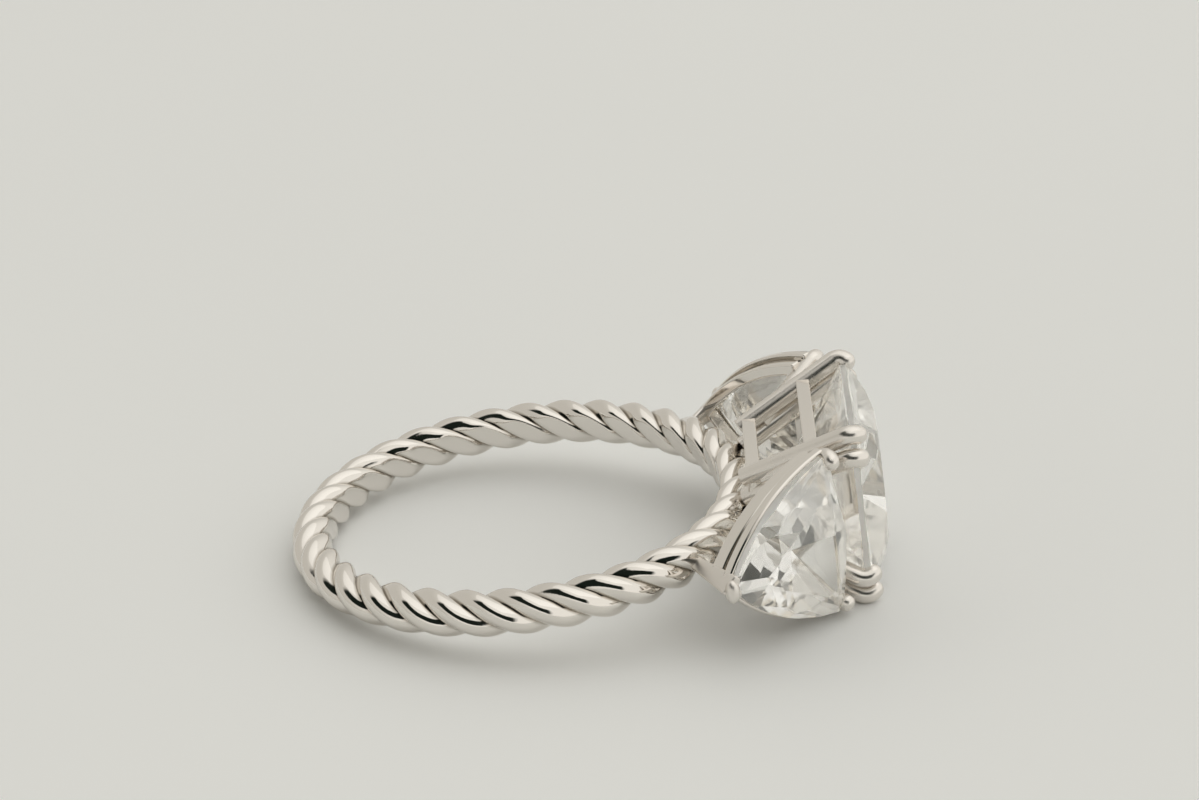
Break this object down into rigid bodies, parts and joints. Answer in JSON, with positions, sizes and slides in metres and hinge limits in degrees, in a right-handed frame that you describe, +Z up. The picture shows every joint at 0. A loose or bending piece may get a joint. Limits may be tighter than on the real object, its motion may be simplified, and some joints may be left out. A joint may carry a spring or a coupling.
{
  "type": "twisted shank ring",
  "caption": "Finger ring with a twisted rope shank and three cut stones held by claws, lying on its side.",
  "frame": {"origin": "middle of the finger hole", "axes": "The ring lies on its side. +Z is up, +X runs level from the finger hole towards the three stones, and the two side stones lie towards +Y and -Y. The finger hole's axis leans 7.6 degrees from +Z towards -X, because the ring rests on the rope at the back and on the lower claws in front."},
  "size_m": [0.0262, 0.0208, 0.0084],
  "materials": {
    "white_gold": "polished",
    "clear_stone": "polished facets"
  },
  "bodies": {
    "root": {"ring_mount": "white_gold", "centre_stone": "clear_stone", "side_stone_right": "clear_stone", "side_stone_left": "clear_stone"}
  },
  "joints": []
}
